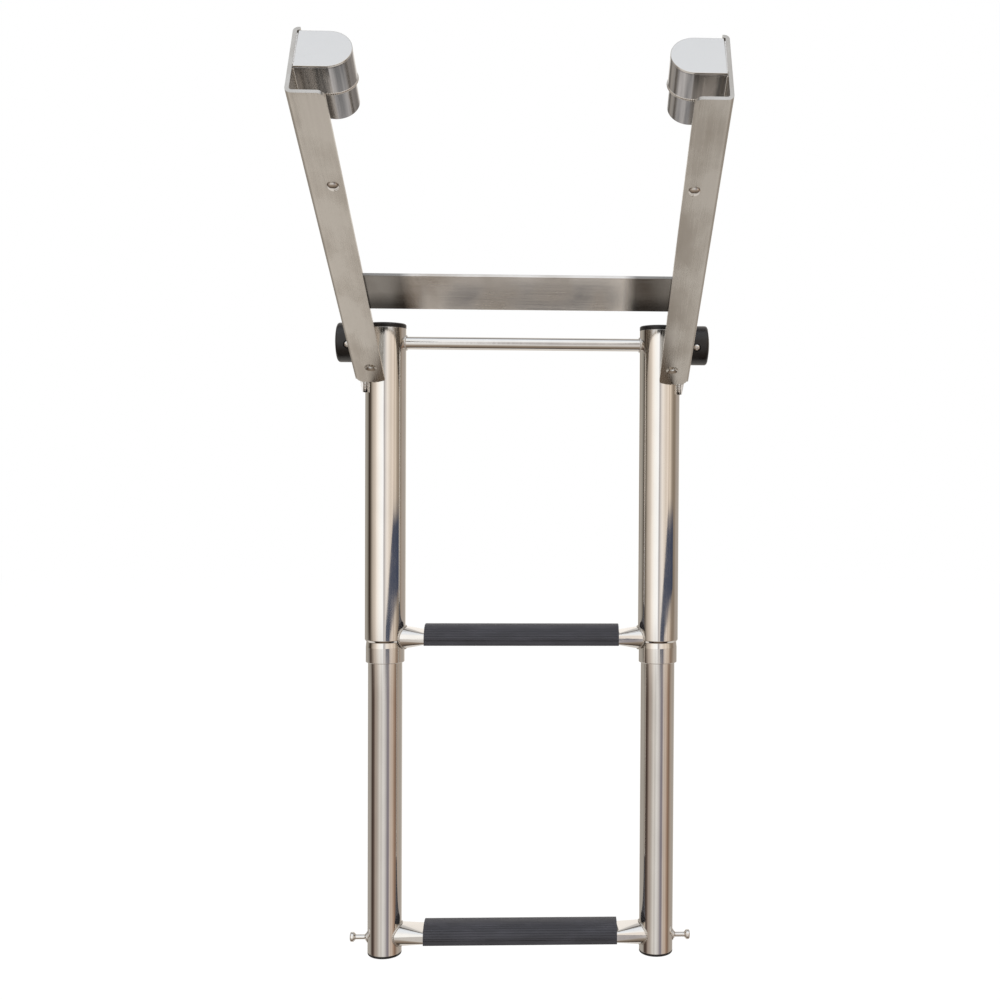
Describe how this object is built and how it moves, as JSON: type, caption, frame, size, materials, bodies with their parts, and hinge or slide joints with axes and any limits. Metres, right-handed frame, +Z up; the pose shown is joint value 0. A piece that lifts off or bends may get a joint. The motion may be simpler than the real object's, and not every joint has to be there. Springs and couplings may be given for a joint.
{
  "type": "boat boarding ladder",
  "caption": "Telescoping stainless boarding ladder with ribbed treads and a sliding lower section, hinged on two channel arms with end sockets and a flat cross bar.",
  "frame": {"origin": "middle of the pivot axle between the two arms", "axes": "+Z up along the hanging ladder, +X across the ladder to the climber's right, +Y away from the climber"},
  "size_m": [0.3508, 0.3484, 0.7747],
  "materials": {
    "brushed_stainless": "satin bent stainless sheet",
    "polished_stainless": "mirror-polished stainless steel",
    "black_plastic": "moulded, slightly glossy",
    "tread_plastic": "extruded, ribbed, matt"
  },
  "bodies": {
    "bracket_frame": {"arm_left": "brushed_stainless", "arm_right": "brushed_stainless", "cross_bar": "brushed_stainless", "socket_tube_left": "polished_stainless", "socket_tube_right": "polished_stainless", "socket_strap_left": "polished_stainless", "socket_strap_right": "polished_stainless", "socket_lid_left": "polished_stainless", "socket_lid_right": "polished_stainless", "arm_bolts": "polished_stainless", "arm_nuts": "polished_stainless"},
    "upper_ladder": {"outer_tube_left": "polished_stainless", "outer_tube_right": "polished_stainless", "top_cap_left": "black_plastic", "top_cap_right": "black_plastic", "pivot_plate_left": "polished_stainless", "pivot_plate_right": "polished_stainless", "roller_left": "black_plastic", "roller_right": "black_plastic", "axle": "polished_stainless", "roller_screws": "polished_stainless", "step_upper": "polished_stainless", "tread_upper": "tread_plastic"},
    "sliding_section": {"inner_tube_left": "polished_stainless", "inner_tube_right": "polished_stainless", "guide_bush_left": "black_plastic", "guide_bush_right": "black_plastic", "end_cap_left": "black_plastic", "end_cap_right": "black_plastic", "stud_left": "polished_stainless", "stud_right": "polished_stainless", "step_lower": "polished_stainless", "tread_lower": "tread_plastic"}
  },
  "joints": [
    {"name": "ladder_fold", "type": "hinge", "parent": "bracket_frame", "child": "upper_ladder", "pos_m": [0, 0, 0], "axis": [1, 0, 0], "range_deg": [0, 230]},
    {"name": "section_slide", "type": "slide", "parent": "upper_ladder", "child": "sliding_section", "axis": [0, 0, 1], "range_m": [0, 0.245]}
  ]
}
